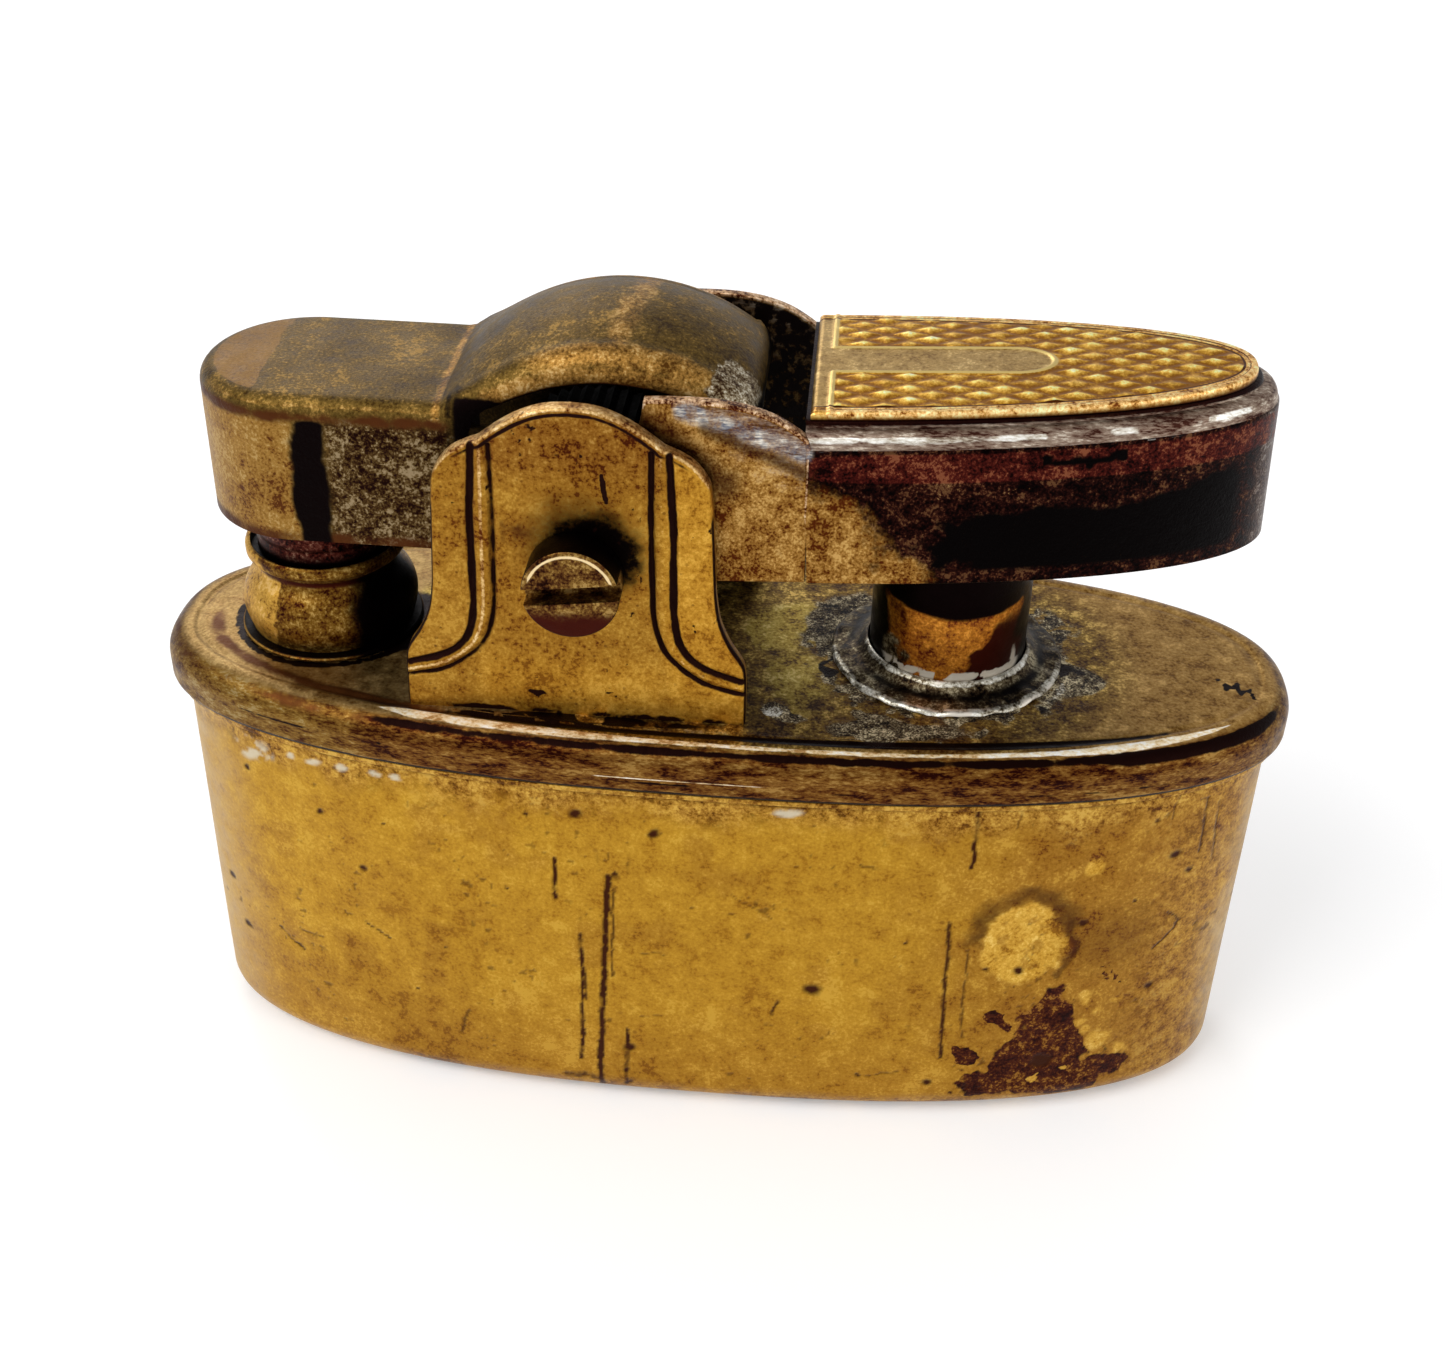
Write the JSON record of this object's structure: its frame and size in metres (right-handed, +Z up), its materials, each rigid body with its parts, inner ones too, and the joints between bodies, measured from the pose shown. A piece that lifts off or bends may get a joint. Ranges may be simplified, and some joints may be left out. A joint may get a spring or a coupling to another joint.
{
  "type": "table lighter mechanism",
  "caption": "Drop-in semi-automatic table lighter: oval fuel tank, thumb lever that lifts the snuffer arm and turns a flint wheel under a hood.",
  "frame": {"origin": "centre of the tank's flat bottom", "axes": "+X along the length towards the thumb lever, +Y across towards the rear standard, +Z up"},
  "size_m": [0.057, 0.0204, 0.0422],
  "materials": {
    "tank_brass": "drawn brass, golden mustard with fine brown speckle and handling scratches",
    "plate_brass": "tarnished brass, dull olive with a worn bright rim",
    "standard_brass": "pressed brass sheet, golden brown, grooves filled with dark patina",
    "lever_brass": "brass with dark red-brown patina and a worn silvery upper edge",
    "arm_brass": "brass with grey-brown olive patina, orange wear along the edges",
    "thumb_gilt": "engine-turned gilt brass inlay",
    "post_brass": "polished brass tube with dark reflections",
    "wick_brass": "turned brass, darkened",
    "screw_brass": "turned brass screw, dark slot",
    "steel": "hardened steel, oily grey",
    "spring_steel": "blued spring steel wire",
    "flint_alloy": "sintered ferrocerium rod",
    "inner_brass": "plain turned brass",
    "cotton": "cotton wool packing",
    "wick_fibre": "braided cotton wick, charred at the tip",
    "seal_cork": "pressed cork and leather seal"
  },
  "bodies": {
    "tank": {"tank_body": "tank_brass", "top_plate": "plate_brass", "front_standard": "standard_brass", "rear_standard": "standard_brass", "axle_screw": "screw_brass", "axle_nut": "screw_brass", "axle_sleeve": "steel", "lever_pivot_pin": "steel", "wheel_spacers": "inner_brass", "spring_sleeve": "post_brass", "sleeve_collar": "post_brass", "spring_cup": "inner_brass", "return_spring": "spring_steel", "wick_tube": "wick_brass", "wick": "wick_fibre", "cotton_packing": "cotton", "flint_tube": "inner_brass", "flint_spring": "spring_steel", "filler_bush": "inner_brass"},
    "thumb": {"thumb_lever": "lever_brass", "thumb_plate": "thumb_gilt", "drive_pins": "steel"},
    "plunger": {"spring_plunger": "inner_brass"},
    "snuffer": {"snuffer_arm": "arm_brass", "cup_guide": "inner_brass", "cup_spring": "spring_steel", "pawl_pin": "steel", "pawl_spring": "spring_steel"},
    "cup": {"snuffer_cup": "wick_brass", "cup_seal": "seal_cork", "cup_stem": "inner_brass"},
    "pawl": {"pawl": "steel"},
    "wheel": {"flint_wheel": "steel", "ratchet_wheel": "steel", "wheel_hub": "steel"},
    "flint_feed": {"flint": "flint_alloy", "flint_plunger": "inner_brass"},
    "flint_screw": {"flint_screw": "inner_brass"},
    "filler_screw": {"filler_screw": "inner_brass", "filler_washer": "seal_cork"}
  },
  "joints": [
    {"name": "thumb_press", "type": "hinge", "parent": "tank", "child": "thumb", "pos_m": [-0.0019, 0, 0.0274], "axis": [0, 1, 0], "range_deg": [0, 12], "stiffness_Nm_per_rad": 0.26, "springref_deg": -14.32},
    {"name": "spring_push", "type": "slide", "parent": "tank", "child": "plunger", "axis": [0, 0, -1], "range_m": [0, 0.0029], "deforming": ["return_spring"]},
    {"name": "snuffer_lift", "type": "hinge", "parent": "tank", "child": "snuffer", "pos_m": [-0.0063, 0, 0.03175], "axis": [0, 1, 0], "range_deg": [0, 37.4]},
    {"name": "wheel_spin", "type": "hinge", "parent": "tank", "child": "wheel", "pos_m": [-0.0063, 0, 0.03175], "axis": [0, 1, 0], "range_deg": [0, 37.4]},
    {"name": "cup_seat", "type": "slide", "parent": "snuffer", "child": "cup", "axis": [0, 0, 1], "range_m": [0, 0.0006], "stiffness_N_per_m": 400, "springref_m": -0.002, "deforming": ["cup_spring"]},
    {"name": "pawl_click", "type": "hinge", "parent": "snuffer", "child": "pawl", "pos_m": [-0.0109, 0, 0.02915], "axis": [0, -1, 0], "range_deg": [0, 8], "stiffness_Nm_per_rad": 0.0008, "springref_deg": -17.19},
    {"name": "flint_feed", "type": "slide", "parent": "tank", "child": "flint_feed", "axis": [0, 0, -1], "range_m": [0, 0.0008], "stiffness_N_per_m": 250, "springref_m": -0.006, "deforming": ["flint_spring"]},
    {"name": "flint_screw_turn", "type": "hinge", "parent": "tank", "child": "flint_screw", "pos_m": [-0.0063, 0, 0.0005], "axis": [0, 0, 1], "continuous": true},
    {"name": "filler_screw_turn", "type": "hinge", "parent": "tank", "child": "filler_screw", "pos_m": [0.017, 0, 0.0005], "axis": [0, 0, 1], "continuous": true}
  ],
  "couplings": [
    {"joint": "snuffer_lift", "follows": "thumb_press", "ratio": 3.1},
    {"joint": "wheel_spin", "follows": "thumb_press", "ratio": 3.1},
    {"joint": "spring_push", "follows": "thumb_press", "m_per_rad": 0.013011}
  ]
}
